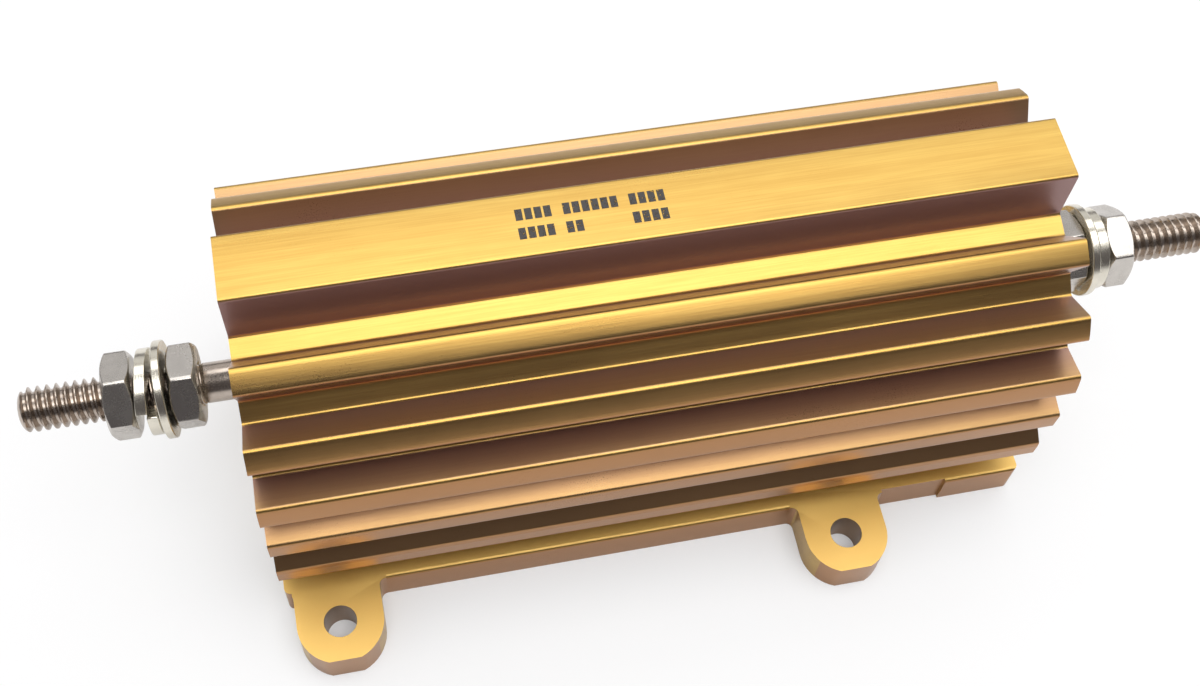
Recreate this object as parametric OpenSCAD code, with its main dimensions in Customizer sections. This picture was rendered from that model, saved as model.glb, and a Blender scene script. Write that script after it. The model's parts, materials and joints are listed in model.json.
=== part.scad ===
// Aluminium housed power resistor, 250 W size, with a threaded terminal at each end.
// The body lies along X on its base plate. The origin is the middle of the base.
// Side "left" is -X, side "right" is +X, and the "near" side of the body is -Y.

/* [Housing] */
// Length of the extruded body
body_l = 114.3; // [95:0.1:150]
// Height of the body from the base to the marking pad
body_h = 58.7; // [52:0.1:70]
// Height of the terminal axis above the base
axis_h = 29.4; // [27:0.1:34]
// Radius of the body that the fins grow from
core_r = 21; // [18.5:0.1:22]
// Bore that holds the resistance element
bore_d = 30; // [27:0.1:32]
// Width of the flat marking pad on top
pad_w = 10; // [6:0.1:14]

/* [Fins] */
// Radius of the round outline that the fin tips reach
tip_r = 25.7; // [24.5:0.1:30]
// Height of that outline's centre above the terminal axis
tip_rise = 2.1; // [0:0.1:3]
// Thickness of each fin at its tip
fin_t = 4.1; // [2.5:0.1:5]
// Angle of each fin face against the fin's middle plane
fin_draft = 6; // [0:0.5:8]
// Rounding of the fin edges
fin_round = 0.6; // [0.2:0.1:1]

/* [Base plate] */
// Width of the base plate without the tabs
base_w = 48.8; // [44:0.1:60]
// Thickness of the base plate and its tabs
base_t = 6.2; // [4:0.1:8]
// Width of the web between the base plate and the round body
web_w = 28; // [20:0.5:36]
// Width of one tab
tab_w = 12.7; // [10:0.1:16]
// Distance from the edge of the base plate to the holes
hole_out = 5.45; // [4:0.05:9]
// Distance from a hole to the cut end of its tab
tab_end = 5.9; // [4:0.1:6.2]
// Diameter of the mounting holes
hole_d = 4.8; // [3:0.1:6]
// Distance between the two holes of one side
hole_pitch_x = 77.1; // [50:0.1:80]

/* [Terminals] */
// How far each terminal stud stands out of the body
stud_out = 31.15; // [24:0.05:45]
// Major diameter of the terminal thread
thread_d = 6.35; // [5:0.01:8]
// Diameter of the plain shank between thread and body
shank_d = 5.75; // [4.5:0.01:6.2]
// Distance from the body to the inner nut
nut_gap = 6.3; // [3:0.1:12]
// Width across the flats of the nuts
nut_af = 11.11; // [9:0.01:13]
// Thickness of one nut
nut_t = 4; // [3:0.1:5]
// Outside diameter of the flat washers
washer_d = 14; // [12.6:0.1:16]
// Thickness of the flat washers
washer_t = 1.2; // [0.8:0.1:2]
// Outside diameter of the spring washers
spring_d = 12.4; // [11:0.1:13]
// Thickness of the spring washers
spring_t = 1.6; // [1:0.1:2]
// Lift of the slack spring washer on the left terminal
lift_left = 1.5; // [0.6:0.1:2.4]
// Lift of the tightened spring washer on the right terminal
lift_right = 0.5; // [0.3:0.1:2.4]
// Lean of the slack flat washer on the left terminal, in degrees
washer_lean = 2.5; // [0:0.5:3]

/* [Element] */
// Distance from the ceramic core to each end of the body
end_room = 11.15; // [8:0.05:20]
// Outside diameter of the ceramic core
ceramic_d = 19; // [16:0.1:20]
// Inside diameter of the ceramic core
ceramic_bore = 9.6; // [8:0.1:11]
// Diameter of the resistance wire
wire_d = 0.7; // [0.4:0.05:0.9]
// Turns of each winding
wire_turns = 16; // [8:1:22]

/* [Hidden] */
$fn = 96;

end_x = body_l / 2;          // end face of the body
hole_y = base_w / 2 + hole_out;          // mounting holes of one side
ceramic_l = body_l - 2 * end_room;       // length of the ceramic core
fit = 0.05;                  // clearance of a part that slides into a bore
eps = 0.01;                  // overlap of shapes that are cut or joined
gold = "goldenrod";
steel = [0.72, 0.71, 0.7];
arc_steps = 5;               // straight pieces of a small rounding

// Fins of one side: angle of each middle plane above the horizontal, from top to bottom
fin_angles = [60.2, 37.1, 15, -9.4, -30];
wall_lean = 0.042;           // slope of the straight side below the round outline
pad_round = 0.5;             // rounding of the pad's edges
plan_round = 1;              // rounding of the base plate's upright corners
tab_fillet = 1;              // fillet between a tab and the base plate
step_in = 0.5;               // depth of the milled step beside the inner tab
step_l = 10.4;               // length of that step
tab_margin = 0.15;           // from the fillet of the outer tab to the end of the body
first_hole_x = -end_x + tab_margin + tab_fillet + tab_w / 2;   // hole of that tab

washer_bore = thread_d + 0.7;
spring_bore = thread_d + 0.2;
nut_x = end_x + nut_gap;                 // inner face of the inner nut
washer_x = nut_x + nut_t;                // inner face of the flat washer
thread_x = nut_x - 0.8;                  // where the thread ends towards the body
tip_round = 1.4;                         // depth of the rounded thread tip
thread_pitch = 1.27;                     // 20 threads per inch
pitch_d = thread_d - 0.6495 * thread_pitch;   // a nut and its stud meet at the pitch diameter
spring_gap = 5;                          // opening of a spring washer's slit in degrees
slit_left = 18;                          // place of each slit, in degrees above the near side
slit_right = 200;

cap_t = 0.8;                             // sheet of the end caps
cap_l = 8;                               // length of an end cap
cap_r = ceramic_d / 2 + fit + cap_t;     // outside radius of an end cap
head_d = ceramic_bore - 2 * fit;         // head of the stud inside the core
head_t = 2;                              // thickness of that head
wire_gap = 0.02;                         // clearance under each winding
wire_l = ceramic_l - 2 * cap_l - wire_d - 0.4;  // length that both windings cover
wire_sides = 6;                          // sides of the wire
wire_steps = 20;                         // straight pieces of one turn
wire_dip = 1 / cos(180 / wire_steps);    // a straight piece dips below its turn by this ratio
wire_a_r = (ceramic_d / 2 + wire_gap) * wire_dip + wire_d / 2;           // inner winding
wire_b_r = (wire_a_r + wire_d / 2 + wire_gap) * wire_dip + wire_d / 2;   // outer winding
fill_r = max(wire_b_r + wire_d / 2, cap_r) + fit;  // hollow of the moulding around the element
bush_t = 4;                              // thickness of an end bush
bush_in = 0.5;                           // depth of the bush below the end face
bush_x = end_x - bush_in - bush_t;       // inner face of an end bush

// ---- places along a terminal, measured outwards from the middle of the body ----

function spring_x(left) = washer_x + washer_t + (left ? washer_d * sin(washer_lean) : 0);
function lift(left) = left ? lift_left : lift_right;
function outer_x(left) = spring_x(left) + spring_t + lift(left);

// ---- helpers ----

function unit(v) = v / norm(v);
function polar(a, r) = r * [cos(a), sin(a)];

// Arc that rounds the corner p between its neighbours a and b with radius r
function corner(a, p, b, r, steps) =
    let (u = unit(a - p), v = unit(b - p), half = acos(u * v) / 2,
         mid = p + unit(u + v) * r / sin(half), from = p + u * r / tan(half) - mid,
         start = atan2(from[1], from[0]), turn = 180 - 2 * half,
         side = sign(u[0] * v[1] - u[1] * v[0]))
    [for (i = [0:steps]) mid + polar(start - side * turn * i / steps, r)];

// Outline with every corner i rounded by radii[i]; a radius of 0 keeps the corner sharp
function rounded(points, radii, steps = arc_steps) =
    let (n = len(points))
    [for (i = [0:n - 1]) each
        radii[i] == 0 ? [points[i]]
        : corner(points[(i + n - 1) % n], points[i], points[(i + 1) % n], radii[i], steps)];

// Distance from the axis to the fin outline, along angle a and beside it by s
function tip_reach(a, s) =
    let (u = [cos(a), sin(a)], n = [-sin(a), cos(a)], c = [0, tip_rise], off = s - n * c,
         round_t = u * c + sqrt(tip_r * tip_r - off * off),
         wall_y = tip_r + (round_t * u[1] + s * n[1] - tip_rise) * wall_lean)
    round_t * u[1] + s * n[1] > tip_rise ? round_t : (wall_y - s * n[0]) / u[0];

// ---- housing ----

// One fin of the section, drawn from inside the round body to its tip, which follows the outline
module fin(a) {
    root = core_r - 3;
    function spot(t, s) = t * [cos(a), sin(a)] + s * [-sin(a), cos(a)];
    function side(k, t) = spot(t, k * (fin_t / 2 + (tip_r - t) * tan(fin_draft)));
    function tip(s) = spot(tip_reach(a, s), s);
    polygon(rounded([side(1, root), side(1, tip_reach(a, fin_t / 2)),
                     tip(fin_t / 4), tip(0), tip(-fin_t / 4),
                     side(-1, tip_reach(a, -fin_t / 2)), side(-1, root)],
                    [0, fin_round, 0, 0, 0, fin_round, 0]));
}

module section() {
    translate([0, axis_h]) {
        difference() {
            union() {
                circle(r = core_r);
                for (m = [0, 1], a = fin_angles) mirror([m, 0]) fin(a);
                polygon(rounded([[-pad_w / 2, 0], [-pad_w / 2, body_h - axis_h],
                                 [pad_w / 2, body_h - axis_h], [pad_w / 2, 0]], [0, pad_round, pad_round, 0]));
                translate([-web_w / 2, -axis_h + eps]) square([web_w, axis_h - core_r / 2]);
                translate([0, -axis_h])
                    polygon(rounded([[-base_w / 2, 0], [-base_w / 2, base_t], [base_w / 2, base_t],
                                     [base_w / 2, 0]], [0, fin_round, fin_round, 0]));
            }
            circle(d = bore_d);
        }
    }
}

// A tab of the near side: round about its hole, cut off flat, with a fillet at each root
module tab(x) {
    w = tab_w / 2;
    foot = w + tab_fillet + 0.1;
    root_y = -base_w / 2;
    translate([x, 0, 0]) linear_extrude(base_t) intersection() {
        union() {
            polygon(rounded([[-foot, root_y + 2], [-foot, root_y], [-w, root_y], [-w, -hole_y],
                             [w, -hole_y], [w, root_y], [foot, root_y], [foot, root_y + 2]],
                            [0, 0, tab_fillet, 0, 0, tab_fillet, 0, 0]));
            translate([0, -hole_y]) circle(r = w);
        }
        translate([-foot - 1, -hole_y - tab_end]) square([2 * foot + 2, hole_y + tab_end]);
    }
}

module housing() color(gold) {
    difference() {
        union() {
            translate([-end_x, 0, 0]) rotate([90, 0, 90]) linear_extrude(body_l) section();
            for (turn = [0, 180], x = [first_hole_x, first_hole_x + hole_pitch_x])
                rotate([0, 0, turn]) tab(x);
        }
        for (turn = [0, 180], x = [first_hole_x, first_hole_x + hole_pitch_x])
            rotate([0, 0, turn]) translate([x, -hole_y, -1]) cylinder(d = hole_d, h = base_t + 2);
        for (turn = [0, 180]) rotate([0, 0, turn])
            translate([first_hole_x + hole_pitch_x + tab_w / 2 + tab_fillet, -base_w / 2 - 1, -1])
                cube([step_l, step_in + 1, base_t + 2]);
        for (mx = [0, 1], my = [0, 1]) mirror([mx, 0, 0]) mirror([0, my, 0])
            translate([end_x - plan_round, base_w / 2 - plan_round, -1]) linear_extrude(base_t + 2)
                difference() {
                    square(plan_round + 1);
                    circle(r = plan_round);
                }
    }
}

// ---- turned parts are drawn for the right end and mirrored for the left ----

// Outline [x, radius] turned about the terminal axis
module turned(outline) {
    translate([0, 0, axis_h]) rotate([0, 90, 0]) rotate_extrude() polygon([for (p = outline) [p[1], p[0]]]);
}

module at_end(left) {
    if (left) mirror([1, 0, 0]) children();
    else children();
}

// Ring about the terminal axis, from x and along it
module ring(x, h, d, bore) {
    translate([x, 0, axis_h]) rotate([0, 90, 0]) difference() {
        cylinder(d = d, h = h);
        translate([0, 0, -1]) cylinder(d = bore, h = h + 2);
    }
}

module ceramic_core() color("ivory")
    ring(-ceramic_l / 2, ceramic_l, ceramic_d, ceramic_bore);

module end_cap() color(steel) turned([
    [ceramic_l / 2 + cap_t, shank_d / 2 + fit], [ceramic_l / 2 + cap_t, cap_r],
    [ceramic_l / 2 - cap_l, cap_r], [ceramic_l / 2 - cap_l, cap_r - cap_t],
    [ceramic_l / 2, cap_r - cap_t], [ceramic_l / 2, shank_d / 2 + fit]]);

// Headed stud; the thread is drawn plain, at its pitch diameter where a nut sits on it
module terminal_stud(left) color(steel) turned([
    [ceramic_l / 2 - head_t, 0], [ceramic_l / 2 - head_t, head_d / 2], [ceramic_l / 2, head_d / 2],
    [ceramic_l / 2, shank_d / 2], [thread_x, shank_d / 2], [thread_x + 0.4, thread_d / 2],
    each [for (x = [nut_x, outer_x(left)]) each [
        [x, thread_d / 2], [x, pitch_d / 2], [x + nut_t, pitch_d / 2], [x + nut_t, thread_d / 2]]],
    each [for (a = [0:15:90]) [end_x + stud_out - tip_round * (1 - sin(a)), thread_d / 2 - 2 * (1 - cos(a))]],
    [end_x + stud_out, 0]]);

// Hexagon nut whose corners are chamfered by a cone at both faces
module nut(x, flat) color(steel) {
    corner_r = nut_af / sqrt(3);
    chamfer = (corner_r - nut_af / 2) * tan(30);
    translate([x, 0, axis_h]) rotate([flat, 0, 0]) rotate([0, 90, 0]) difference() {
        intersection() {
            cylinder(r = corner_r, h = nut_t, $fn = 6);
            rotate_extrude() polygon([[0, 0], [nut_af / 2, 0], [corner_r + eps, chamfer],
                                      [corner_r + eps, nut_t - chamfer], [nut_af / 2, nut_t], [0, nut_t]]);
        }
        translate([0, 0, -1]) cylinder(d = pitch_d + fit, h = nut_t + 2);
    }
}

// A slack washer leans on the inner nut, with its upper edge outwards
module flat_washer(left) color(steel)
    translate([(washer_x + spring_x(left)) / 2, 0, axis_h]) rotate([0, left ? washer_lean : 0, 0])
        translate([-washer_t / 2, 0, -axis_h]) ring(0, washer_t, washer_d, washer_bore);

// One turn of a left-handed screw, whose ends stand apart by the lift
module spring_washer(left) {
    steps = 40;
    section = [[spring_bore / 2, 0], [spring_d / 2, 0], [spring_d / 2, spring_t], [spring_bore / 2, spring_t]];
    first_x = left ? -outer_x(left) : spring_x(left);
    first_a = (left ? slit_left : slit_right) + spring_gap / 2;
    function ring_at(i) =
        let (a = first_a + (360 - spring_gap) * i / steps,
             x = first_x + fit + (lift(left) - 2 * fit) * i / steps)
        [for (p = section) [x + p[1], -p[0] * cos(a), axis_h + p[0] * sin(a)]];
    color(steel) polyhedron([for (i = [0:steps]) each ring_at(i)], tube_faces(4, steps));
}

// Faces of a tube with a closed section of n points and the given number of steps
function tube_faces(n, steps) = concat(
    [[for (j = [0:n - 1]) j]],
    [for (i = [0:steps - 1], j = [0:n - 1], half = [0, 1])
        let (k = (j + 1) % n, a = i * n + j, b = i * n + k, c = a + n, d = b + n)
        half == 0 ? [a, c, b] : [b, c, d]],
    [[for (j = [n - 1:-1:0]) steps * n + j]]);

module outer_nut(left) nut(outer_x(left), left ? 49 : 11);
module inner_nut(left) nut(nut_x, left ? 41 : 20);

// ---- element ----

// Wire wound on the core; hand is 1 or -1, r is the radius of the wire's middle
module winding(r, hand) {
    steps = wire_turns * wire_steps;
    function ring_at(i) =
        let (a = hand * 360 * i / wire_steps, x = wire_l * (i / steps - 0.5))
        [for (j = [0:wire_sides - 1])
            let (b = -hand * 360 * j / wire_sides, q = r + wire_d / 2 * cos(b))
            [x + wire_d / 2 * sin(b), -q * cos(a), axis_h + q * sin(a)]];
    color([0.75, 0.6, 0.45]) polyhedron([for (i = [0:steps]) each ring_at(i)], tube_faces(wire_sides, steps));
}

module silicone_moulding() color([0.45, 0.2, 0.15]) turned([
    [-bush_x, shank_d / 2 + fit], [-bush_x, bore_d / 2 - fit], [bush_x, bore_d / 2 - fit],
    [bush_x, shank_d / 2 + fit], [ceramic_l / 2 + cap_t + fit, shank_d / 2 + fit],
    [ceramic_l / 2 + cap_t + fit, fill_r], [-ceramic_l / 2 - cap_t - fit, fill_r],
    [-ceramic_l / 2 - cap_t - fit, shank_d / 2 + fit]]);

module end_bush() color("linen") ring(bush_x, bush_t, bore_d - 2 * fit, shank_d + 2 * fit);

// ---- nodes ----

housing();
ceramic_core();
winding(wire_a_r, 1);  // winding_inner
winding(wire_b_r, -1);  // winding_outer
at_end(true) end_cap();  // end_cap_left
at_end(false) end_cap();  // end_cap_right
at_end(true) terminal_stud(true);  // terminal_stud_left
at_end(false) terminal_stud(false);  // terminal_stud_right
silicone_moulding();
at_end(true) end_bush();  // end_bush_left
at_end(false) end_bush();  // end_bush_right
at_end(true) inner_nut(true);  // inner_nut_left
at_end(false) inner_nut(false);  // inner_nut_right
at_end(true) flat_washer(true);  // flat_washer_left
at_end(false) flat_washer(false);  // flat_washer_right
spring_washer(true);  // spring_washer_left
spring_washer(false);  // spring_washer_right
at_end(true) outer_nut(true);  // outer_nut_left
at_end(false) outer_nut(false);  // outer_nut_right
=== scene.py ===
"""Aluminium housed power resistor with stud terminals: the visual model, in the frame of the CAD parts.

The layout is an add-on's: property groups hold the sizes and colours, each operator makes one
group of pieces, and main() calls them in order. All sizes are metres.
"""
import json
import math

import bmesh
import bpy
from mathutils import Matrix, Vector

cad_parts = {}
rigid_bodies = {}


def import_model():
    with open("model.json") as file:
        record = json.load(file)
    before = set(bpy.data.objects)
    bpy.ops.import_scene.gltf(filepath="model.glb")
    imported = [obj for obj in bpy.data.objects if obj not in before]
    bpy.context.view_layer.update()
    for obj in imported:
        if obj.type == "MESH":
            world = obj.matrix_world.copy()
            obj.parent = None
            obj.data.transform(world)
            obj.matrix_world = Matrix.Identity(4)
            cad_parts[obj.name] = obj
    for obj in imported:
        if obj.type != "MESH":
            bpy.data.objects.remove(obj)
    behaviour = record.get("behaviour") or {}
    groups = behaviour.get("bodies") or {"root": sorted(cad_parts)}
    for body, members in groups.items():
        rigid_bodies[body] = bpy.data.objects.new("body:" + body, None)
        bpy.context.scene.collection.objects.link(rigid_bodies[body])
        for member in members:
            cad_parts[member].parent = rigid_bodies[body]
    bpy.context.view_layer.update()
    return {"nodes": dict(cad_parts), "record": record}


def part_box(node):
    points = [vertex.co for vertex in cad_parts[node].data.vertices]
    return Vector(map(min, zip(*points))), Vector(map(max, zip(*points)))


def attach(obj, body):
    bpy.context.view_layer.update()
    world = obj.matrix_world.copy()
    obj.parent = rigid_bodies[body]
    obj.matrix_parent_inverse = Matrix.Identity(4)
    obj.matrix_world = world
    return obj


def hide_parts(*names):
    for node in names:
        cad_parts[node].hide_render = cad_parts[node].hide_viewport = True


for leftover in list(bpy.data.objects):
    bpy.data.objects.remove(leftover)
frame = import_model()

bl_info = {
    "name": "Housed power resistor",
    "version": (1, 0, 0),
    "blender": (4, 5, 0),
    "location": "View3D > Sidebar > Resistor",
    "description": "Finned resistor housing, stud terminals with their nuts and washers, and a studio",
    "category": "Object",
}

MM = 0.001
MOUNTS = {mount["name"]: mount for mount in frame["record"]["mounts"]}
AXIS = Vector((0, 0, MOUNTS["terminal_left"]["pos_m"][2]))
SIDES = {"left": -1, "right": 1}

SAME_POINT = 0.001 * MM        # vertices closer than this are joined
SAME_FACE = math.radians(0.3)  # faces that meet at less than this are joined
BEVEL_STEPS = 2                # segments of a broken edge
ROOT_STEPS = 3                 # segments of a rounded fin root


# ---------------------------------------------------------------- settings

def length(label, text, default):
    return bpy.props.FloatProperty(name=label, description=text, default=default, min=0,
                                   unit="LENGTH", precision=5)


def place_along(label, text, default):
    return bpy.props.FloatProperty(name=label, description=text, default=default,
                                   unit="LENGTH", precision=5)


def angle(label, text, degrees):
    return bpy.props.FloatProperty(name=label, description=text, default=math.radians(degrees),
                                   subtype="ANGLE")


def share(label, text, default):
    return bpy.props.FloatProperty(name=label, description=text, default=default, min=0, max=1,
                                   subtype="FACTOR")


def number(label, text, default):
    return bpy.props.FloatProperty(name=label, description=text, default=default)


def colour(label, text, default):
    return bpy.props.FloatVectorProperty(name=label, description=text, default=default, size=3,
                                         min=0, max=1, subtype="COLOR")


class HousingSettings(bpy.types.PropertyGroup):
    """Sizes and colours of the housing, its marking and the element inside"""
    root_round: length("Root rounding", "Rounding where the fins meet the round body", 0.4 * MM)
    root_length: length("Root length", "Shortest hollow edge that counts as the root of a fin", 50 * MM)
    root_angle_low: angle("Root angle", "Smallest hollow angle that counts as the root of a fin", 20)
    root_angle_high: angle("Largest root angle", "Largest hollow angle that counts as the root of a fin",
                           100)

    gold: colour("Gold", "Reflection colour of the dyed anodising", (0.43, 0.252, 0.046))
    gold_worn: colour("Worn gold", "Reflection colour where the dye is thin", (0.56, 0.37, 0.085))
    # painted shade: faces that stand upright get this darker, redder colour
    upright_shade: colour("Upright gold", "Reflection colour of the faces that stand upright",
                         (0.385, 0.186, 0.066))
    # painted shade: the sides of the grooves get this darker colour, darkest near the groove floors
    groove_shade: colour("Groove gold", "Reflection colour of the etched sides of the grooves",
                      (0.27, 0.14, 0.125))
    # painted shade: the sides of the lowest fins, which lie under the fins above, get this darker colour
    low_fin_shade: colour("Low gold", "Reflection colour of the sides of the lowest fins", (0.33, 0.175, 0.065))
    # partly painted highlight: the milled flat tops are real, and this much lighter colour paints the light
    # they catch
    milled_gold_highlight: colour("Milled gold", "Reflection colour of the flat top of the base plate and its tabs",
                        (0.9, 0.6, 0.17))
    # painted shade: the walls of the mounting holes get this dark colour
    hole_shade: colour("Hole wall", "Reflection colour of the walls of the mounting holes",
                      (0.24, 0.14, 0.07))
    # painted shade: the grooves' sides are made less metallic, so that they look a duller brown
    groove_shade_metal: share("Groove metal", "How metallic the etched sides of the grooves look", 0.5)
    gloss: share("Roughness", "Roughness of the etched and anodised surface", 0.31)
    milled_dulling: share("Milled roughness", "Roughness that milling adds to the base plate's top", 0.25)
    line_depth: length("Line depth", "Depth of the extrusion lines", 0.012 * MM)

    base_top: length("Base plate top", "Height above which the grooves start", 7 * MM)
    # the painted shade on the grooves' sides is darkest at groove_floor and gone at fin_tips
    groove_floor: length("Groove floors", "Radius at which the groove sides are dullest", 20 * MM)
    fin_tips: length("Fin tips", "Radius at which the groove sides are as bright as the fin tips", 31 * MM)
    # heights over which the painted shade of the lowest fins fades out
    low_fins: length("Low fins", "Height up to which the fins' sides keep the low colour", 24 * MM)
    high_fins: length("High fins", "Height above which the fins' sides keep the groove colour", 31 * MM)
    pad_half: length("Pad", "Half the width of the marking pad, with some room", 5.5 * MM)

    mark_start: place_along("Marking start", "Place of the first ink mark along the pad", -18 * MM)
    mark_pitch: length("Marking pitch", "Distance between the ink marks", 1.26 * MM)
    mark_width: share("Mark width", "Width of a mark as a share of the distance between marks", 0.76)
    mark_height: length("Marking height", "Height of the ink marks", 1.75 * MM)
    mark_rows: length("Marking rows", "Distance between the two rows of ink marks", 2.9 * MM)
    ink_film: length("Ink film", "Thickness of the ink marks", 0.012 * MM)
    ink: colour("Ink", "Colour of the worn marking on the pad", (0.035, 0.03, 0.028))

    bush: colour("Bush", "Colour of the insulating bushes", (0.74, 0.7, 0.6))
    bush_edge: length("Bush edge", "Rounding of the edges of the insulating bushes", 0.2 * MM)
    cap: colour("Cap", "Colour of the element's end caps", (0.62, 0.6, 0.57))
    cap_gloss: share("Cap roughness", "Roughness of the end caps", 0.35)
    cap_dull: colour("Dull cap", "Colour of the end caps where they are dull", (0.5, 0.48, 0.45))
    wire: colour("Wire", "Colour of the resistance wire", (0.5, 0.42, 0.33))
    wire_gloss: share("Wire roughness", "Roughness of the resistance wire", 0.4)
    wire_dull: colour("Dull wire", "Colour of the resistance wire where it is dull", (0.4, 0.33, 0.26))
    silicone: colour("Silicone", "Colour of the moulding round the element", (0.2, 0.045, 0.025))
    silicone_dark: colour("Dark silicone", "Colour of the moulding where it is darker", (0.14, 0.03, 0.02))


class TerminalSettings(bpy.types.PropertyGroup):
    """Sizes and colours of the studs, nuts and washers"""
    pitch: length("Pitch", "Thread pitch, 20 threads per inch", 1.27 * MM)
    shank: length("Shank", "Diameter of the plain part beside the body", 5.75 * MM)
    head_t: length("Head", "Thickness of the studs' heads", 2 * MM)
    tip_length: length("Tip", "Length of the rounded end of the thread", 1.4 * MM)
    tip_round: length("Tip rounding", "Depth of the rounding at the end of the thread", 2 * MM)
    thread_lead: length("Thread lead", "Length of thread between the inner nut and the shank", 0.8 * MM)
    nut_flats: length("Nut", "Width across the flats of the nuts", 11.11 * MM)
    countersink: length("Countersink", "Depth of the countersink in the nuts", 0.35 * MM)
    spring_bore: length("Spring washer bore", "Inside diameter of the spring washers", 6.55 * MM)
    spring_t: length("Spring washer thickness", "Thickness of the spring washers' wire", 1.6 * MM)
    slit: angle("Slit width", "Opening of a spring washer's slit", 5)
    slit_left: angle("Left slit", "Place of the left spring washer's slit above the near side", 28)
    slit_right: angle("Right slit", "Place of the right spring washer's slit above the near side", 200)
    outer_flat_left: angle("Left outer nut", "Direction of one flat above the near side", 49)
    inner_flat_left: angle("Left inner nut", "Direction of one flat above the near side", 41)
    inner_flat_right: angle("Right inner nut", "Direction of one flat above the near side", 50)
    outer_flat_right: angle("Right outer nut", "Direction of one flat above the near side", 11)
    edge_break: length("Edge break", "Rounding of the edges of nuts and washers", 0.14 * MM)

    stud_colour: colour("Stud", "Colour of the studs", (0.5, 0.43, 0.37))
    nut_colour: colour("Nut colour", "Colour of the nuts", (0.56, 0.53, 0.49))
    washer_colour: colour("Washer colour", "Colour of the washers", (0.74, 0.7, 0.6))
    stud_gloss: share("Stud roughness", "Roughness of the studs", 0.25)
    nut_gloss: share("Nut roughness", "Roughness of the nuts", 0.26)
    washer_gloss: share("Washer roughness", "Roughness of the washers", 0.24)


class StageSettings(bpy.types.PropertyGroup):
    """Camera, paper, room and lamps"""
    lens: number("Lens", "Focal length of the camera in millimetres", 48.8)
    aim_x: place_along("Aim along", "Point that the camera looks at, along the housing", -6.7 * MM)
    aim_y: place_along("Aim across", "Point that the camera looks at, across the housing", -3.3 * MM)
    distance: length("Distance", "Distance from the camera to the point it looks at", 235.6 * MM)
    elevation: angle("Elevation", "Height of the camera above the horizon", 60.87)
    azimuth: angle("Azimuth", "Turn of the camera from the near side towards the left end", 16.7)
    roll: angle("Roll", "Roll of the camera about its line of sight", 5.9)

    floor: colour("Floor", "Colour of the paper under the object", (0.92, 0.92, 0.93))
    floor_half: length("Floor size", "Half the width of the paper", 3)
    floor_gap: length("Floor gap", "Distance from the base plate down to the paper", 0.02 * MM)
    floor_shine: share("Floor in metal", "Share of the white that metal sees in the floor", 0.26)
    floor_clear: share("Clear floor", "Share of plain white in the floor where nothing is near", 0.8)
    floor_hidden: share("Hidden floor", "Share of plain white in the floor under the object", 0.1)
    contact: length("Contact shadow", "Reach of the shadow where the object touches the floor", 25 * MM)
    room: colour("Room", "Colour of the room around the stage", (1.0, 0.92, 0.96))
    room_light: number("Room light", "Strength of the room's light", 0.1)
    room_shine: share("Room in metal", "Share of the white that metal sees in the room", 0.02)

    overhead: number("Overhead lamp", "Power of the overhead lamp in watts", 3.4)
    back: number("Back lamp", "Power of the lamp behind the object in watts", 3.0)
    low_back: number("Low back lamp", "Power of the dim lamp low behind the object in watts", 1.2)
    side: number("Side lamps", "Power of each side lamp in watts", 0.6)


# ---------------------------------------------------------------- mesh helpers

def new_piece(name, bm, material, edge_break=0.0, smooth_below=30):
    """Turns a bmesh into a piece on the root body, with one material.

    Edges sharper than smooth_below degrees stay sharp, and are rounded by edge_break where it is given.
    """
    bmesh.ops.recalc_face_normals(bm, faces=bm.faces)
    mesh = bpy.data.meshes.new(name)
    bm.to_mesh(mesh)
    bm.free()
    mesh.materials.append(material)
    mesh.polygons.foreach_set("use_smooth", [True] * len(mesh.polygons))
    piece = bpy.data.objects.new(name, mesh)
    bpy.context.scene.collection.objects.link(piece)
    if edge_break:
        bevel = piece.modifiers.new("Edge break", "BEVEL")
        bevel.width = edge_break
        bevel.segments = BEVEL_STEPS
        bevel.limit_method = "ANGLE"
        bevel.angle_limit = math.radians(smooth_below)
        bevel.harden_normals = False
    with bpy.context.temp_override(object=piece, active_object=piece, selected_objects=[piece],
                                   selected_editable_objects=[piece]):
        bpy.ops.object.shade_smooth_by_angle(angle=math.radians(smooth_below))
    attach(piece, "root")
    return piece


def copy_of_node(node):
    """A bmesh of a CAD node with its triangles joined into whole faces."""
    bm = bmesh.new()
    bm.from_mesh(frame["nodes"][node].data)
    bmesh.ops.remove_doubles(bm, verts=bm.verts, dist=SAME_POINT)
    bmesh.ops.dissolve_limit(bm, angle_limit=SAME_FACE, verts=bm.verts, edges=bm.edges)
    return bm


def polar_of(vert):
    """Angle about the terminal axis, from the near side upwards, and distance from it."""
    offset = vert.co - AXIS
    return math.atan2(offset.z, -offset.y), math.hypot(offset.y, offset.z)


def place(vert, x, turn, radius):
    """Puts a vertex at an angle and a distance about the terminal axis."""
    vert.co = AXIS + Vector((x, -radius * math.cos(turn), radius * math.sin(turn)))


def grow_ring(bm, edges, ring):
    """Extrudes a ring of edges to the place that ring(angle) gives as (x, radius)."""
    made = bmesh.ops.extrude_edge_only(bm, edges=edges)["geom"]
    for vert in made:
        if isinstance(vert, bmesh.types.BMVert):
            turn, _ = polar_of(vert)
            x, radius = ring(turn)
            place(vert, x, turn, radius)
    return [edge for edge in made if isinstance(edge, bmesh.types.BMEdge)]


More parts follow.
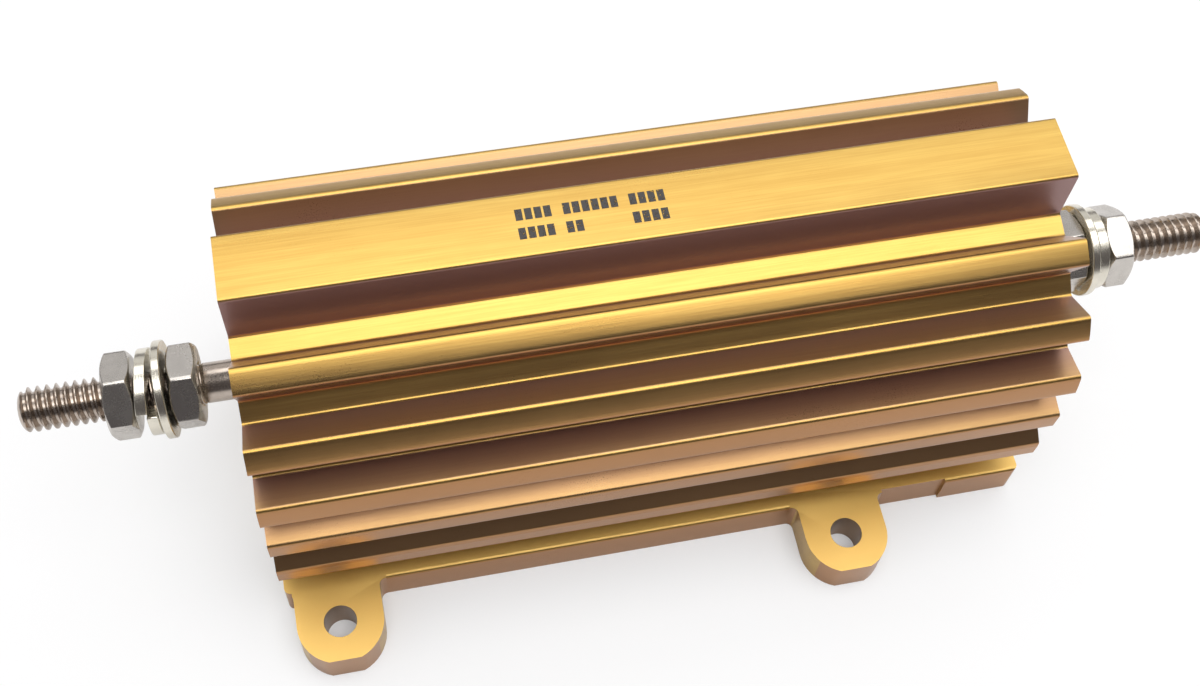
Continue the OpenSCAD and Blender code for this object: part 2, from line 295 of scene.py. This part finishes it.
def turned_ring(outline, segments):
    """A closed ring about the terminal axis.

    outline lists functions of the angle that give (x, radius), in order round the ring's section.
    """
    bm = bmesh.new()
    upright = Matrix.Translation(AXIS) @ Matrix.Rotation(math.pi / 2, 4, "Y")
    bmesh.ops.create_circle(bm, cap_ends=False, radius=1, segments=segments, matrix=upright)
    for vert in bm.verts:
        turn, _ = polar_of(vert)
        x, radius = outline[0](turn)
        place(vert, x, turn, radius)
    edges = list(bm.edges)
    for ring in outline[1:] + outline[:1]:
        edges = grow_ring(bm, edges, ring)
    bmesh.ops.remove_doubles(bm, verts=bm.verts, dist=SAME_POINT)
    return bm


def mounting_holes():
    """Middle and radius of each mounting hole."""
    holes = []
    for name in ("near_tab_holes", "far_tab_holes"):
        dims = MOUNTS[name]["dims"]
        for k in range(dims["count"]):
            along = (k - (dims["count"] - 1) / 2) * dims["spacing_x_mm"] * MM
            holes.append((Vector(MOUNTS[name]["pos_m"]) + Vector((along, 0, 0)), dims["hole_r_mm"] * MM))
    return holes


# ---------------------------------------------------------------- shader helpers

EVEN = (1, 1, 1)          # noise that is stretched along no axis
SQUARE_TO = 0.8           # a face is square to an axis when this much of its normal runs along it
# the painted shade of the hole walls reaches this far outside their radius
HOLE_MARGIN = 0.02 * MM   # how far outside a mounting hole's radius its colour reaches
SIDE_FACES = 0.45         # a face is a fin's side up to this outward part of its normal
TIP_FACES = 0.8           # and a fin's tip or a groove's floor from this one on
# the painted shade of upright faces fades out between these two
UPRIGHT_FACES = 0.3       # a face is upright up to this upward part of its normal
LEVEL_FACES = 0.97        # and level from this one on


class Signal:
    """A shader socket that takes part in arithmetic; each operation adds a Math node."""

    def __init__(self, paint, socket):
        self.paint = paint
        self.socket = socket

    def maths(self, operation, *values):
        return self.paint.node("ShaderNodeMath", {"operation": operation}, dict(enumerate(values)))

    def __add__(self, other):
        return self.maths("ADD", self, other)

    def __sub__(self, other):
        return self.maths("SUBTRACT", self, other)

    def __rsub__(self, other):
        return self.maths("SUBTRACT", other, self)

    def __mul__(self, other):
        return self.maths("MULTIPLY", self, other)

    def __gt__(self, other):
        return self.maths("GREATER_THAN", self, other)

    def __abs__(self):
        return self.maths("ABSOLUTE", self)

    __radd__ = __add__
    __rmul__ = __mul__

    def spread(self, low, high):
        """0 at low and 1 at high, clamped."""
        return self.paint.node("ShaderNodeMapRange", {"clamp": True},
                               {"Value": self, "From Min": low, "From Max": high})

    def swing(self, amount):
        """Turns a noise from 0 to 1 into one that swings about 0 and spans the amount."""
        return (self - 0.5) * amount


class Paint:
    """A material under construction."""

    def __init__(self, name):
        self.material = bpy.data.materials.new(name)
        self.material.use_nodes = True
        self.tree = self.material.node_tree
        self.tree.nodes.clear()
        self.shader = self.tree.nodes.new("ShaderNodeBsdfPrincipled")
        self.output = self.tree.nodes.new("ShaderNodeOutputMaterial")
        self.tree.links.new(self.shader.outputs[0], self.output.inputs["Surface"])

    @classmethod
    def of_tree(cls, tree):
        """Only the node helpers, for a tree that is not a material."""
        paint = cls.__new__(cls)
        paint.tree = tree
        tree.nodes.clear()
        return paint

    def plug(self, socket, value):
        """Links a signal to a socket, or sets the socket to a number, a colour or a vector."""
        if isinstance(value, Signal):
            self.tree.links.new(value.socket, socket)
        elif socket.type == "RGBA" and len(value) == 3:
            socket.default_value = (*value, 1)
        else:
            socket.default_value = value

    def node(self, kind, settings=None, inputs=None, output=0):
        """Any node: its settings first, then its sockets; returns the chosen output."""
        made = self.tree.nodes.new(kind)
        for key, value in (settings or {}).items():
            setattr(made, key, value)
        for key, value in (inputs or {}).items():
            self.plug(made.inputs[key], value)
        return Signal(self, made.outputs[output])

    def vector_maths(self, operation, *vectors, output="Vector"):
        return self.node("ShaderNodeVectorMath", {"operation": operation}, dict(enumerate(vectors)), output)

    def set(self, **sockets):
        """Sets the surface shader's sockets; an underscore stands for a space."""
        for key, value in sockets.items():
            self.plug(self.shader.inputs[key.replace("_", " ")], value)

    def position(self):
        """Place on the piece in metres."""
        return self.node("ShaderNodeTexCoord", output="Object")

    def noise(self, stretch, scale, detail=3, roughness=0.55):
        """Noise from 0 to 1, with about scale grains to a millimetre.

        A stretch factor below 1 draws the grains out along its axis.
        """
        per_mm = [factor / MM for factor in stretch]
        where = self.node("ShaderNodeMapping", {}, {"Vector": self.position(), "Scale": per_mm})
        return self.node("ShaderNodeTexNoise", {}, {"Vector": where, "Scale": scale, "Detail": detail,
                                                    "Roughness": roughness})

    def part_of(self, vector, axis):
        """The part of a vector along X, Y or Z."""
        return self.node("ShaderNodeSeparateXYZ", {}, {0: vector}, output=axis)

    def flat_base(self, normal, settings):
        """1 on the faces of the base plate and its tabs that look up."""
        looks_up = self.part_of(normal, "Z") > SQUARE_TO
        return looks_up * (1 - (self.part_of(self.position(), "Z") > settings.base_top))

    def in_holes(self):
        """1 in the four mounting holes."""
        position = self.position()
        inside = 0
        for centre, radius in mounting_holes():
            offset = self.vector_maths("SUBTRACT", position, centre)
            level = self.vector_maths("MULTIPLY", offset, (1, 1, 0))
            reach = self.vector_maths("LENGTH", level, output="Value")
            inside = inside + (1 - (reach > radius + HOLE_MARGIN))
        return inside

    def groove_side_shade(self, normal, settings):
        """Painted shade on the grooves' sides, which run outwards from the terminal axis: 1 there, and 0 on
        tips and floors.

        It fades towards the fin tips, but not beside the pad and on the lowest fins.
        """
        position = self.position()
        from_axis = self.vector_maths("SUBTRACT", position, AXIS)
        across_axis = self.vector_maths("MULTIPLY", from_axis, (0, 1, 1))
        reach = self.vector_maths("LENGTH", across_axis, output="Value")
        outward = self.vector_maths("NORMALIZE", across_axis)
        facing = self.vector_maths("DOT_PRODUCT", outward, normal, output="Value")
        height = self.part_of(position, "Z")
        off_pad = abs(self.part_of(position, "Y")) > settings.pad_half
        deep_shade = 1 - reach.spread(settings.groove_floor, settings.fin_tips) * off_pad
        deep_shade = deep_shade.maths("MAXIMUM", deep_shade, self.low_fin_shade_mask(settings))
        return (1 - facing.spread(SIDE_FACES, TIP_FACES)) * deep_shade * (height > settings.base_top)

    def low_fin_shade_mask(self, settings):
        """Painted shade of the lowest fins: 1 there, falling to 0 at the high ones."""
        return 1 - self.part_of(self.position(), "Z").spread(settings.low_fins, settings.high_fins)

    def blend(self, factor, first, second):
        """Mixes two colours."""
        return self.node("ShaderNodeMix", {"data_type": "RGBA"}, {0: factor, 6: first, 7: second},
                         output=2)

    def seen(self, in_metal):
        """1 for the camera, and in_metal for reflections and rays through glass."""
        camera, glossy, through = (self.node("ShaderNodeLightPath", output=kind) for kind in
                                   ("Is Camera Ray", "Is Glossy Ray", "Is Transmission Ray"))
        return camera.maths("MAXIMUM", camera, glossy.maths("MAXIMUM", glossy, through) * in_metal)

    def bump(self, height, depth):
        """Raises the surface by height, a number from 0 to 1, times depth in metres."""
        raised = self.node("ShaderNodeBump", {}, {"Height": height, "Distance": depth, "Strength": 1.0})
        self.set(Normal=raised)


# ---------------------------------------------------------------- materials

def gold_anodised(settings):
    """Etched and dyed aluminium, with extrusion lines along X and saw lines on the end faces.

    The upright faces, the hole walls and the sides of the grooves and of the lowest fins get colours of
    painted shade, and the milled top of the base plate a lighter colour that is partly painted highlight.
    """
    fine_share, grain_share, cloud_share = 0.55, 0.35, 0.4
    paint = Paint("gold_anodised")
    fine_lines = paint.noise((0.02, 1, 1), scale=5.0, detail=2)
    broad_lines = paint.noise((0.004, 1, 1), scale=0.9, detail=3)
    grain = paint.noise(EVEN, scale=7.0, detail=2, roughness=0.7)
    cloud = paint.noise((0.4, 1, 1), scale=0.09, detail=4)
    saw_lines = paint.noise((0, 0.05, 1), scale=3.5, detail=2)
    normal = paint.node("ShaderNodeTexCoord", output="Normal")
    end_face = abs(paint.part_of(normal, "X")) > SQUARE_TO
    lines = fine_lines * fine_share + broad_lines * (1 - fine_share)
    paint.bump(lines * (1 - end_face) + saw_lines * end_face + grain * grain_share, settings.line_depth)

    worn = cloud.spread(0.42, 0.75) * cloud_share + lines.spread(0.4, 0.68) * (1 - cloud_share)
    skin = paint.blend(worn, settings.gold, settings.gold_worn)
    # painted shade: upright faces, but not the end faces, take a darker, redder colour
    upright = (1 - paint.part_of(normal, "Z").spread(UPRIGHT_FACES, LEVEL_FACES)) * (1 - end_face)
    skin = paint.blend(upright, skin, settings.upright_shade)
    # the milled flat tops are rougher, and their much lighter colour is painted highlight
    milled = paint.flat_base(normal, settings)
    skin = paint.blend(milled, skin, settings.milled_gold_highlight)
    # painted shade in the mounting holes
    skin = paint.blend(paint.in_holes(), skin, settings.hole_shade)
    # painted shade: the grooves' sides take a darker, less metallic colour
    side = paint.groove_side_shade(normal, settings) * (1 - end_face)
    # painted shade: the lowest fins' sides take their own darker colour and stay metallic
    low = paint.low_fin_shade_mask(settings)
    side_shade_colour = paint.blend(low, settings.groove_shade, settings.low_fin_shade)
    rough = settings.gloss + grain.swing(0.12) + cloud.swing(0.14) + milled * settings.milled_dulling
    paint.set(Base_Color=paint.blend(side, skin, side_shade_colour),
              Metallic=1 - side * (1 - low) * (1 - settings.groove_shade_metal),
              Roughness=rough, Coat_Weight=0.5, Coat_Roughness=0.45, Coat_IOR=1.6)
    return paint.material


def turned_steel(name, base, dull, gloss, lines=6.0):
    """Plated steel with faint turning lines round the terminal axis, about so many to a millimetre."""
    groove_share, groove_depth, stain_share = 0.6, 0.01 * MM, 0.7
    paint = Paint(name)
    grooves = paint.noise((1, 0.05, 0.05), scale=lines, detail=2)
    stain = paint.noise(EVEN, scale=0.35, detail=4)
    speck = paint.noise(EVEN, scale=5.0, detail=2, roughness=0.7)
    paint.bump(grooves * groove_share + speck * (1 - groove_share), groove_depth)
    shade = stain.spread(0.35, 0.72) * stain_share + speck.spread(0.5, 0.8) * (1 - stain_share)
    paint.set(Base_Color=paint.blend(shade, base, dull), Metallic=1.0,
              Roughness=gloss + stain.swing(0.2) + speck.swing(0.1))
    return paint.material


def scaled(base, factor):
    """A colour made darker or lighter by a factor."""
    return tuple(min(1.0, part * factor) for part in base)


def unglazed_ceramic(base):
    """Matt ceramic, cloudy and a little grainy."""
    cloud_darkening, grain_depth = 0.82, 0.03 * MM
    paint = Paint("ceramic")
    cloud = paint.noise(EVEN, scale=0.4, detail=4)
    grain = paint.noise(EVEN, scale=6.0, detail=3, roughness=0.7)
    paint.bump(grain, grain_depth)
    paint.set(Base_Color=paint.blend(cloud.spread(0.3, 0.75), base, scaled(base, cloud_darkening)),
              Roughness=0.62 + grain.swing(0.25))
    return paint.material


def moulded_silicone(settings):
    """Dark red silicone with a fine grain."""
    grain_depth = 0.02 * MM
    paint = Paint("silicone")
    cloud = paint.noise(EVEN, scale=0.3, detail=3)
    grain = paint.noise(EVEN, scale=4.0, detail=2)
    paint.bump(grain, grain_depth)
    paint.set(Base_Color=paint.blend(cloud.spread(0.3, 0.7), settings.silicone, settings.silicone_dark),
              Roughness=0.5 + grain.swing(0.2))
    return paint.material


def worn_ink(base):
    """Stamped ink with the gold showing through where it has rubbed off."""
    paint = Paint("worn_ink")
    rub = paint.noise(EVEN, scale=2.6, detail=4, roughness=0.65)
    paint.set(Base_Color=base, Roughness=0.55 + rub.swing(0.2), Alpha=1 - rub.spread(0.55, 0.68))
    return paint.material


def paper(settings):
    """White paper that the camera sees nearly white, and that keeps the object's shadow."""
    grain_darkening, shadow_samples = 0.99, 8
    paint = Paint("paper")
    grain = paint.noise(EVEN, scale=1.5, detail=3)
    paint.set(Base_Color=paint.blend(grain, settings.floor, scaled(settings.floor, grain_darkening)),
              Roughness=0.9, Specular_IOR_Level=0.1)
    glow = paint.node("ShaderNodeEmission", {}, {"Color": (1, 1, 1), "Strength": 1.0})
    lit = Signal(paint, paint.shader.outputs[0])
    clear = paint.node("ShaderNodeAmbientOcclusion", {"samples": shadow_samples},
                       {"Distance": settings.contact}, output="AO")
    plain = clear * (settings.floor_clear - settings.floor_hidden) + settings.floor_hidden
    share_seen = paint.seen(settings.floor_shine) * plain
    mix = paint.node("ShaderNodeMixShader", {}, {0: share_seen, 1: lit, 2: glow})
    paint.tree.links.new(mix.socket, paint.output.inputs["Surface"])
    return paint.material


# ---------------------------------------------------------------- the housing and what is in it

MARKS = ("1111 111111 1111", "1111 11     1111")  # a 1 is an ink mark and a space is bare metal


class RESISTOR_OT_housing(bpy.types.Operator):
    """The extruded housing with rounded fin roots, in gold anodising"""
    bl_idname = "resistor.housing"
    bl_label = "Housing"

    def is_root(self, edge, settings):
        """Whether an edge is long, hollow and above the base plate, as at the roots of the fins."""
        hollow = -edge.calc_face_angle_signed(0)
        long_enough = edge.calc_length() > settings.root_length
        above_base = edge.verts[0].co.z > settings.base_top
        return long_enough and above_base and settings.root_angle_low < hollow < settings.root_angle_high

    def execute(self, context):
        settings = context.scene.resistor_housing
        bm = copy_of_node("housing")
        roots = [edge for edge in bm.edges if self.is_root(edge, settings)]
        bmesh.ops.bevel(bm, geom=roots, offset=settings.root_round, affect="EDGES", segments=ROOT_STEPS,
                        profile=0.5, material=-1)
        housing = new_piece("housing_shell", bm, gold_anodised(settings), smooth_below=26)
        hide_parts("housing")
        return {"FINISHED"}


class RESISTOR_OT_marking(bpy.types.Operator):
    """Two rows of plain worn ink marks on the pad, where a rating would be stamped"""
    bl_idname = "resistor.marking"
    bl_label = "Marking"

    def execute(self, context):
        settings = context.scene.resistor_housing
        middle_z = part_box("housing")[1].z + settings.ink_film / 2
        size = Matrix.Diagonal((settings.mark_pitch * settings.mark_width, settings.mark_height,
                                settings.ink_film, 1))
        bm = bmesh.new()
        for marks, middle_y in zip(MARKS, (settings.mark_rows / 2, -settings.mark_rows / 2)):
            for column, mark in enumerate(marks):
                if mark == "1":
                    middle_x = settings.mark_start + column * settings.mark_pitch
                    middle = Vector((middle_x, middle_y, middle_z))
                    bmesh.ops.create_cube(bm, size=1, matrix=Matrix.Translation(middle) @ size)
        marking = new_piece("marking", bm, worn_ink(settings.ink))
        return {"FINISHED"}


class RESISTOR_OT_element(bpy.types.Operator):
    """The insulating bushes in the bore, and the materials of the element inside"""
    bl_idname = "resistor.element"
    bl_label = "Bushes and element"

    def execute(self, context):
        settings = context.scene.resistor_housing
        ceramic = unglazed_ceramic(settings.bush)
        cap = turned_steel("cap_steel", settings.cap, settings.cap_dull, settings.cap_gloss)
        wire = turned_steel("resistance_wire", settings.wire, settings.wire_dull, settings.wire_gloss)
        for side in SIDES:
            bush = new_piece("bush_" + side, copy_of_node("end_bush_" + side), ceramic, settings.bush_edge)
            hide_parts("end_bush_" + side)
        inside = {"end_cap_left": cap, "end_cap_right": cap, "ceramic_core": ceramic, "winding_inner": wire,
                  "winding_outer": wire, "silicone_moulding": moulded_silicone(settings)}
        for node, material in inside.items():
            frame["nodes"][node].data.materials[0] = material
        return {"FINISHED"}


# ---------------------------------------------------------------- terminals

THREAD_DEPTH = 0.5413      # depth of a 60 degree thread, as a share of its pitch
ROOT_ROOM = 0.04 * MM      # extra depth of the thread's root
SPIN_STEPS = 48            # steps of one turn of the thread
THREAD_CUTS = 2            # cuts across each edge of the thread's section
SAME_TURN = 0.002 * MM     # points of two turns of the thread that are closer than this are joined
ON_CUT = 0.0005 * MM       # points this close to a cut across the thread are on it
RUN_OUT = 1.3              # pitches over which the thread runs out into the shank
LOWEST_ROOT = 0.7          # smallest radius that the run-out allows, as a share of the thread's radius
STUD_DULLING = 0.72        # how dark the studs' dull places are

NUT_FACE = 0.97            # diameter of a nut's flat face, as a share of its width across the flats
NUT_CONE = math.tan(math.radians(30))  # slope of the chamfer on a nut's corners
BORE_LIP = 0.15 * MM       # how far the countersink is wider than the thread
NUT_SEGMENTS = 144         # sides of the rings that make a nut
DULLING = 0.8              # how dark the dull places of the nuts and washers are

SPRING_STEPS = 80          # steps of a spring washer's turn
EASING = 3                 # how quickly the rise of a relaxed spring washer levels off


def thread_outline(pitch, crest, root, x_low, x_high):
    """Points (x, radius) of a 60 degree thread's section, over whole pitches from x_low past x_high."""
    flank = (pitch - pitch / 8 - pitch / 4) / 2
    one = ((0, crest), (pitch / 8, crest), (pitch / 8 + flank, root), (pitch / 8 + flank + pitch / 4, root))
    turns = math.ceil((x_high - x_low) / pitch)
    return [(x_low + turn * pitch + x, radius) for turn in range(turns + 1) for x, radius in one]


class RESISTOR_OT_studs(bpy.types.Operator):
    """The two headed studs with their rolled threads"""
    bl_idname = "resistor.studs"
    bl_label = "Terminal studs"

    def thread(self, bm, settings, radius, x_start, x_tip):
        """Screws the thread's section round the axis and trims it to the stud's length."""
        root = radius - THREAD_DEPTH * settings.pitch - ROOT_ROOM
        outline = thread_outline(settings.pitch, radius, root, x_start - settings.pitch, x_tip)
        verts = [bm.verts.new(AXIS + Vector((x, -r, 0))) for x, r in outline]
        for pair in zip(verts, verts[1:]):
            bm.edges.new(pair)
        bmesh.ops.subdivide_edges(bm, edges=bm.edges, cuts=THREAD_CUTS)
        bmesh.ops.spin(bm, geom=list(bm.verts) + list(bm.edges), cent=AXIS, axis=(1, 0, 0), angle=math.tau,
                       dvec=(settings.pitch / SPIN_STEPS, 0, 0), steps=SPIN_STEPS, use_merge=False,
                       use_duplicate=False)
        bmesh.ops.remove_doubles(bm, verts=bm.verts, dist=SAME_TURN)
        for x, way in ((x_start, -1), (x_tip, 1)):
            whole = list(bm.verts) + list(bm.edges) + list(bm.faces)
            bmesh.ops.bisect_plane(bm, geom=whole, dist=ON_CUT, plane_co=AXIS + Vector((x, 0, 0)),
                                   plane_no=(way, 0, 0), clear_outer=True)

    def shape_ends(self, bm, settings, radius, x_start, x_tip):
        """Lets the thread run out into the shank, and rounds the tip."""
        shank = settings.shank / 2
        run_out = RUN_OUT * settings.pitch
        tip = settings.tip_length
        for vert in bm.verts:
            turn, r = polar_of(vert)
            x = vert.co.x
            rise = min(1.0, (x - x_start) / run_out)
            low = shank - rise * (shank - LOWEST_ROOT * radius)
            high = shank + rise * (radius - shank)
            into_tip = min(1.0, max(0.0, (x - (x_tip - tip)) / tip))
            rounded = radius - settings.tip_round * (1 - math.sqrt(1 - into_tip ** 2))
            place(vert, x, turn, min(max(r, low), high, rounded))

    def add_head(self, bm, settings, x_end, head):
        """Adds the shank and the head to the thread's open start, and closes them."""
        shank = settings.shank / 2
        x_head = x_end + settings.head_t
        edges = [edge for edge in bm.edges if edge.is_boundary]
        for x, r in ((x_head, shank), (x_head, head), (x_end, head)):
            edges = grow_ring(bm, edges, lambda turn, x=x, r=r: (x, r))
        bmesh.ops.holes_fill(bm, edges=edges, sides=0)

    def execute(self, context):
        settings = context.scene.resistor_terminals
        dull = scaled(settings.stud_colour, STUD_DULLING)
        steel = turned_steel("stud_steel", settings.stud_colour, dull, settings.stud_gloss)
        for side in SIDES:
            node = "terminal_stud_" + side
            low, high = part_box(node)
            x_end, x_tip = sorted((abs(low.x), abs(high.x)))
            radius = MOUNTS["terminal_" + side]["dims"]["r_mm"] * MM
            x_start = min(abs(corner.x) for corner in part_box("inner_nut_" + side)) - settings.thread_lead
            bm = bmesh.new()
            self.thread(bm, settings, radius, x_start, x_tip)
            self.shape_ends(bm, settings, radius, x_start, x_tip)
            middle = (x_start + x_tip) / 2
            tip_rim = [edge for edge in bm.edges if edge.is_boundary and edge.verts[0].co.x > middle]
            bmesh.ops.holes_fill(bm, edges=tip_rim, sides=0)
            self.add_head(bm, settings, x_end, (high.z - low.z) / 2)
            if side == "left":
                half_turn = Matrix.Rotation(math.pi, 3, "Z")
                bmesh.ops.rotate(bm, verts=bm.verts, cent=(0, 0, 0), matrix=half_turn)
            stud = new_piece("stud_" + side, bm, steel, smooth_below=40)
            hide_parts(node)
        return {"FINISHED"}


def hex_radius(turn, flats, flat_at):
    """Distance from the axis to a hexagon's side in direction turn; one flat faces flat_at."""
    sixth = math.tau / 6
    off = (turn - flat_at + sixth / 2) % sixth - sixth / 2
    return flats / 2 / math.cos(off)


class RESISTOR_OT_nuts(bpy.types.Operator):
    """The four chamfered hexagon nuts"""
    bl_idname = "resistor.nuts"
    bl_label = "Nuts"

    def nut(self, low, high, flat_at, thread_r, settings):
        """Rings of one nut: bore, countersink, face, cone, flats and back again."""
        flats, sink = settings.nut_flats, settings.countersink
        face_r = flats / 2 * NUT_FACE

        def side(turn):
            return hex_radius(turn, flats, flat_at)

        def ring(x, r):
            return lambda turn: (x, r)

        outline = [ring(low + sink, thread_r - sink), ring(low, thread_r + BORE_LIP), ring(low, face_r),
                   lambda turn: (low + (side(turn) - face_r) * NUT_CONE, side(turn)),
                   lambda turn: (high - (side(turn) - face_r) * NUT_CONE, side(turn)),
                   ring(high, face_r), ring(high, thread_r + BORE_LIP), ring(high - sink, thread_r - sink)]
        return turned_ring(outline, NUT_SEGMENTS)

    def execute(self, context):
        settings = context.scene.resistor_terminals
        dull = scaled(settings.nut_colour, DULLING)
        steel = turned_steel("nut_steel", settings.nut_colour, dull, settings.nut_gloss, lines=3.0)
        turns = {"outer_nut_left": settings.outer_flat_left, "inner_nut_left": settings.inner_flat_left,
                 "inner_nut_right": settings.inner_flat_right, "outer_nut_right": settings.outer_flat_right}
        thread_r = MOUNTS["terminal_left"]["dims"]["r_mm"] * MM
        for node, flat_at in turns.items():
            low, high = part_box(node)
            bm = self.nut(low.x, high.x, flat_at, thread_r, settings)
            nut = new_piece(node.replace("nut", "hexagon"), bm, steel, settings.edge_break, smooth_below=25)
            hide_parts(node)
        return {"FINISHED"}


class RESISTOR_OT_washers(bpy.types.Operator):
    """The two flat washers and the two split spring washers"""
    bl_idname = "resistor.washers"
    bl_label = "Washers"

    def spring(self, low, high, slit_at, relaxed, settings):
        """One turn of a square wire; its ends stand apart by what is left of the height.

        A relaxed washer rises quickly at its first end and levels off towards the other.
        """
        bore, rim = settings.spring_bore / 2, high.z - AXIS.z
        thickness = settings.spring_t
        rise = (high.x - low.x) - thickness
        start, sweep = slit_at + settings.slit / 2, math.tau - settings.slit
        bm = bmesh.new()
        corners = [(low.x, bore), (low.x, rim), (low.x + thickness, rim), (low.x + thickness, bore)]
        verts = [bm.verts.new() for _ in corners]
        for vert, (x, r) in zip(verts, corners):
            place(vert, x, start, r)
        end = bm.faces.new(verts)
        bmesh.ops.spin(bm, geom=[end], cent=AXIS, axis=(-1, 0, 0), angle=sweep,
                       dvec=(rise / SPRING_STEPS, 0, 0), steps=SPRING_STEPS, use_merge=False,
                       use_duplicate=False)
        if relaxed:
            for vert in bm.verts:
                turn, _ = polar_of(vert)
                done = min((turn - start) % math.tau / sweep, 1)
                vert.co.x += rise * (1 - (1 - done) ** EASING - done)
        bmesh.ops.holes_fill(bm, edges=[edge for edge in bm.edges if edge.is_boundary], sides=4)
        return bm

    def execute(self, context):
        settings = context.scene.resistor_terminals
        dull = scaled(settings.washer_colour, DULLING)
        steel = turned_steel("washer_steel", settings.washer_colour, dull, settings.washer_gloss)
        for side, slit_at in (("left", settings.slit_left), ("right", settings.slit_right)):
            bm = copy_of_node("flat_washer_" + side)
            flat = new_piece("washer_" + side, bm, steel, settings.edge_break)
            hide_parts("flat_washer_" + side)
            low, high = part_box("spring_washer_" + side)
            bm = self.spring(low, high, slit_at, side == "left", settings)
            spring = new_piece("spring_ring_" + side, bm, steel, settings.edge_break)
            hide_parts("spring_washer_" + side)
        return {"FINISHED"}


# ---------------------------------------------------------------- stage

LAMP_AIM = (0, 0, 0.02)  # the point that the lamps behind and beside the object face


def area_lamp(name, power, place_at, size, aim=LAMP_AIM, turn=0.0):
    """A soft rectangular lamp that faces the aim, turned about its own line of sight."""
    lamp = bpy.data.lights.new(name, "AREA")
    lamp.shape = "RECTANGLE"
    lamp.size, lamp.size_y = size
    lamp.energy = power
    holder = bpy.data.objects.new(name, lamp)
    holder.location = place_at
    look = (Vector(aim) - Vector(place_at)).to_track_quat("-Z", "Y")
    holder.rotation_euler = (look @ Matrix.Rotation(turn, 3, "Z").to_quaternion()).to_euler()
    bpy.context.scene.collection.objects.link(holder)


class RESISTOR_OT_stage(bpy.types.Operator):
    """White paper, soft lamps and the camera"""
    bl_idname = "resistor.stage"
    bl_label = "Stage"

    def floor(self, settings):
        """A wide sheet of paper just below the base plate."""
        bm = bmesh.new()
        bmesh.ops.create_grid(bm, x_segments=1, y_segments=1, size=settings.floor_half,
                              matrix=Matrix.Translation((0, 0, -settings.floor_gap)))
        mesh = bpy.data.meshes.new("floor")
        bm.to_mesh(mesh)
        bm.free()
        mesh.materials.append(paper(settings))
        floor = bpy.data.objects.new("floor", mesh)
        bpy.context.scene.collection.objects.link(floor)

    def world(self, settings):
        """A dim even room; the camera sees it white, and metal sees some of that white."""
        world = bpy.data.worlds.new("room")
        bpy.context.scene.world = world
        world.use_nodes = True
        paint = Paint.of_tree(world.node_tree)
        room = paint.node("ShaderNodeBackground", {}, {"Color": settings.room,
                                                       "Strength": settings.room_light})
        white = paint.node("ShaderNodeBackground", {}, {"Color": (1, 1, 1), "Strength": 1.0})
        mix = paint.node("ShaderNodeMixShader", {}, {0: paint.seen(settings.room_shine), 1: room, 2: white})
        output = world.node_tree.nodes.new("ShaderNodeOutputWorld")
        world.node_tree.links.new(mix.socket, output.inputs["Surface"])

    def lamps(self, settings):
        """One broad lamp overhead, two long ones behind and one at each side."""
        area_lamp("overhead", settings.overhead, place_at=(0.09, -0.1, 0.6), size=(0.56, 0.53),
                  aim=(0.09, -0.1, 0), turn=-0.35)
        area_lamp("back", settings.back, place_at=(0, 0.392, 0.624), size=(1.4, 0.3))
        area_lamp("low back", settings.low_back, place_at=(0, 0.725, 0.36), size=(1.4, 0.4))
        for name, way in SIDES.items():
            area_lamp(name, settings.side, place_at=(way * 0.75, 0, 0.5), size=(0.7, 0.5))

    def camera(self, settings):
        """The camera, at its distance from the point it looks at and rolled about its line of sight."""
        target = Vector((settings.aim_x, settings.aim_y, AXIS.z))
        level = math.cos(settings.elevation)
        away = Vector((-math.sin(settings.azimuth) * level, -math.cos(settings.azimuth) * level,
                       math.sin(settings.elevation)))
        camera = bpy.data.objects.new("camera", bpy.data.cameras.new("camera"))
        camera.data.lens = settings.lens
        camera.data.clip_start = 0.01
        camera.location = target + away * settings.distance
        aim = (-away).to_track_quat("-Z", "Y") @ Matrix.Rotation(settings.roll, 3, "Z").to_quaternion()
        camera.rotation_euler = aim.to_euler()
        bpy.context.scene.collection.objects.link(camera)
        bpy.context.scene.camera = camera

    def execute(self, context):
        settings = context.scene.resistor_stage
        self.floor(settings)
        self.world(settings)
        self.lamps(settings)
        self.camera(settings)
        context.scene.view_settings.view_transform = "Standard"
        return {"FINISHED"}


# ---------------------------------------------------------------- panel, registration and run

STEPS = ("housing", "marking", "element", "studs", "nuts", "washers", "stage")
GROUPS = {"resistor_housing": HousingSettings, "resistor_terminals": TerminalSettings,
          "resistor_stage": StageSettings}


class RESISTOR_PT_panel(bpy.types.Panel):
    """A button for each step, and all of the settings"""
    bl_label = "Resistor"
    bl_idname = "RESISTOR_PT_panel"
    bl_space_type = "VIEW_3D"
    bl_region_type = "UI"
    bl_category = "Resistor"

    def draw(self, context):
        for step in STEPS:
            self.layout.operator("resistor." + step)
        for group, kind in GROUPS.items():
            box = self.layout.box()
            for key in kind.__annotations__:
                box.prop(getattr(context.scene, group), key)


CLASSES = (HousingSettings, TerminalSettings, StageSettings, RESISTOR_OT_housing, RESISTOR_OT_marking,
           RESISTOR_OT_element, RESISTOR_OT_studs, RESISTOR_OT_nuts, RESISTOR_OT_washers, RESISTOR_OT_stage,
           RESISTOR_PT_panel)


def register():
    for kind in CLASSES:
        bpy.utils.register_class(kind)
    for group, kind in GROUPS.items():
        setattr(bpy.types.Scene, group, bpy.props.PointerProperty(type=kind))


def unregister():
    for group in GROUPS:
        delattr(bpy.types.Scene, group)
    for kind in reversed(CLASSES):
        bpy.utils.unregister_class(kind)


def main():
    register()
    for step in STEPS:
        getattr(bpy.ops.resistor, step)()


if __name__ == "__main__":
    main()
